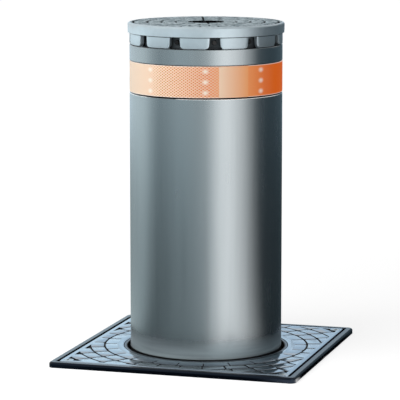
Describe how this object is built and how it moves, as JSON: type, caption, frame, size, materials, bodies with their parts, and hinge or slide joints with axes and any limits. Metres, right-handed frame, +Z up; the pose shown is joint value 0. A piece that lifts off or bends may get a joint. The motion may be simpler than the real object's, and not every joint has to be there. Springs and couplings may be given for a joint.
{
  "type": "hydraulic rising bollard",
  "caption": "Round steel traffic bollard with lit castellated head and reflective band that a hydraulic ram raises through a square cover plate from a buried casing.",
  "frame": {"origin": "on the bollard's axis at paving level, the underside of the ground flange", "axes": "+Z up along the tube, +X and +Y along the sides of the square cover"},
  "size_m": [0.45, 0.45, 1.5],
  "materials": {
    "tube_paint": "satin grey powder coat on steel",
    "head_casting": "sand-cast aluminium, satin",
    "cover_casting": "cast aluminium, blue-grey satin",
    "frame_paint": "dark grey semi-gloss paint on steel",
    "reflective_film": "orange retro-reflective film",
    "black_rubber": "matt moulded rubber",
    "housing_plastic": "moulded dark grey",
    "lamp_lens": "smoked clear lens",
    "lamp_board": "coated circuit laminate",
    "galvanised_steel": "hot-dip galvanised",
    "machined_steel": "turned",
    "zinc_fasteners": "bright zinc plated",
    "chromed_rod": "hard chrome, ground",
    "ram_paint": "black enamel on steel",
    "guide_nylon": "cast nylon",
    "seal_rubber": "polyurethane seal"
  },
  "bodies": {
    "ground_unit": {"ram_barrel": "ram_paint", "ram_gland": "machined_steel", "rod_seal": "seal_rubber", "pressure_port": "zinc_fasteners", "foot_bracket": "ram_paint", "foot_pin": "machined_steel", "pin_circlips": "zinc_fasteners", "guide_rail_right": "machined_steel", "guide_rail_left": "machined_steel", "seal_clamp_ring": "machined_steel", "clamp_screws": "zinc_fasteners", "wiper_seal": "black_rubber", "guide_collar": "machined_steel", "collar_screws": "zinc_fasteners", "guide_bush": "guide_nylon", "foundation_casing": "galvanised_steel", "casing_floor": "galvanised_steel", "drain_spigot": "galvanised_steel", "conduit_spigot": "galvanised_steel", "ground_frame": "frame_paint", "cover_plate": "cover_casting", "cover_screws": "zinc_fasteners", "buffers": "black_rubber", "ground_flange": "frame_paint", "collar_seat": "galvanised_steel", "anchor_lug_1": "galvanised_steel", "anchor_lug_2": "galvanised_steel", "anchor_lug_3": "galvanised_steel", "anchor_lug_4": "galvanised_steel"},
    "bollard": {"bollard_tube": "tube_paint", "reflective_band": "reflective_film", "head_cap": "head_casting", "light_housing": "housing_plastic", "lamp_lenses": "lamp_lens", "lamp_board": "lamp_board", "thrust_plate": "machined_steel", "rod_nut": "zinc_fasteners", "cap_washer": "zinc_fasteners", "cap_bolt": "zinc_fasteners", "ram_rod": "chromed_rod", "ram_piston": "machined_steel", "piston_seal": "seal_rubber", "piston_nut": "zinc_fasteners", "base_flange": "machined_steel", "guide_shoe_right": "guide_nylon", "guide_shoe_left": "guide_nylon", "shoe_screws": "zinc_fasteners"}
  },
  "joints": [
    {"name": "rise", "type": "slide", "parent": "ground_unit", "child": "bollard", "axis": [0, 0, 1], "range_m": [-0.59, 0]}
  ]
}
